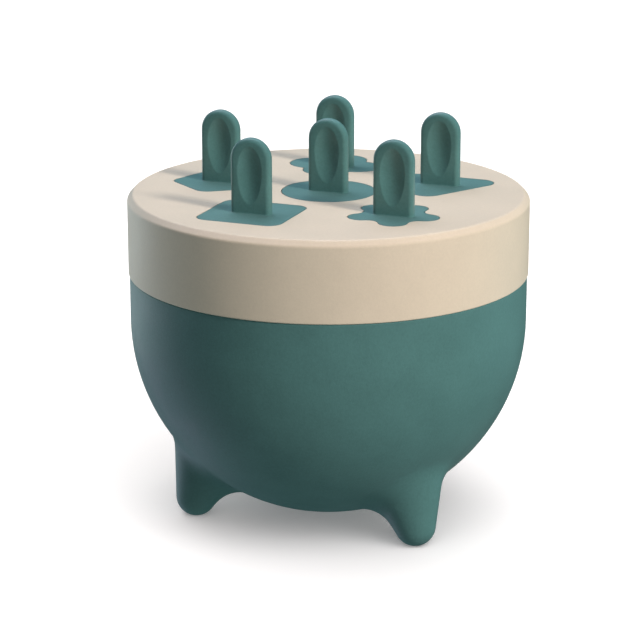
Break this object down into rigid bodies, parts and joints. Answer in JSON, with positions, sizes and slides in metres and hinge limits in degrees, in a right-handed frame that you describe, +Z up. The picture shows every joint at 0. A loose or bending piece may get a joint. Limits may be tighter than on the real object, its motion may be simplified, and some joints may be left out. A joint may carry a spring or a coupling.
{
  "type": "ice pop mold",
  "caption": "Footed bowl with a lift-off tray of hanging cups, each closed by a shaped stick with a thumb-dished handle.",
  "frame": {"origin": "on the floor under the bowl's axis, level with the soles of the feet", "axes": "+Z up along the bowl's axis, +Y towards the back stick of the ring of five, +X to the right"},
  "size_m": [0.18, 0.18, 0.1832],
  "materials": {
    "bowl_plastic": "matte",
    "tray_plastic": "matte",
    "stick_plastic": "matte"
  },
  "bodies": {
    "base": {"bowl": "bowl_plastic"},
    "tray": {"mould_tray": "tray_plastic"},
    "circle_pop": {"stick_circle": "stick_plastic"},
    "clover_pop": {"stick_clover": "stick_plastic"},
    "triangle_pop": {"stick_triangle": "stick_plastic"},
    "flower_pop": {"stick_flower": "stick_plastic"},
    "square_pop": {"stick_square": "stick_plastic"},
    "pentagon_pop": {"stick_pentagon": "stick_plastic"}
  },
  "joints": [
    {"name": "tray_lift", "type": "slide", "parent": "base", "child": "tray", "axis": [0, 0, 1], "range_m": [0, 0.06]},
    {"name": "circle_pull", "type": "slide", "parent": "tray", "child": "circle_pop", "axis": [0, 0, 1], "range_m": [0, 0.085]},
    {"name": "clover_pull", "type": "slide", "parent": "tray", "child": "clover_pop", "axis": [0, 0, 1], "range_m": [0, 0.085]},
    {"name": "triangle_pull", "type": "slide", "parent": "tray", "child": "triangle_pop", "axis": [0, 0, 1], "range_m": [0, 0.085]},
    {"name": "flower_pull", "type": "slide", "parent": "tray", "child": "flower_pop", "axis": [0, 0, 1], "range_m": [0, 0.085]},
    {"name": "square_pull", "type": "slide", "parent": "tray", "child": "square_pop", "axis": [0, 0, 1], "range_m": [0, 0.085]},
    {"name": "pentagon_pull", "type": "slide", "parent": "tray", "child": "pentagon_pop", "axis": [0, 0, 1], "range_m": [0, 0.085]}
  ]
}
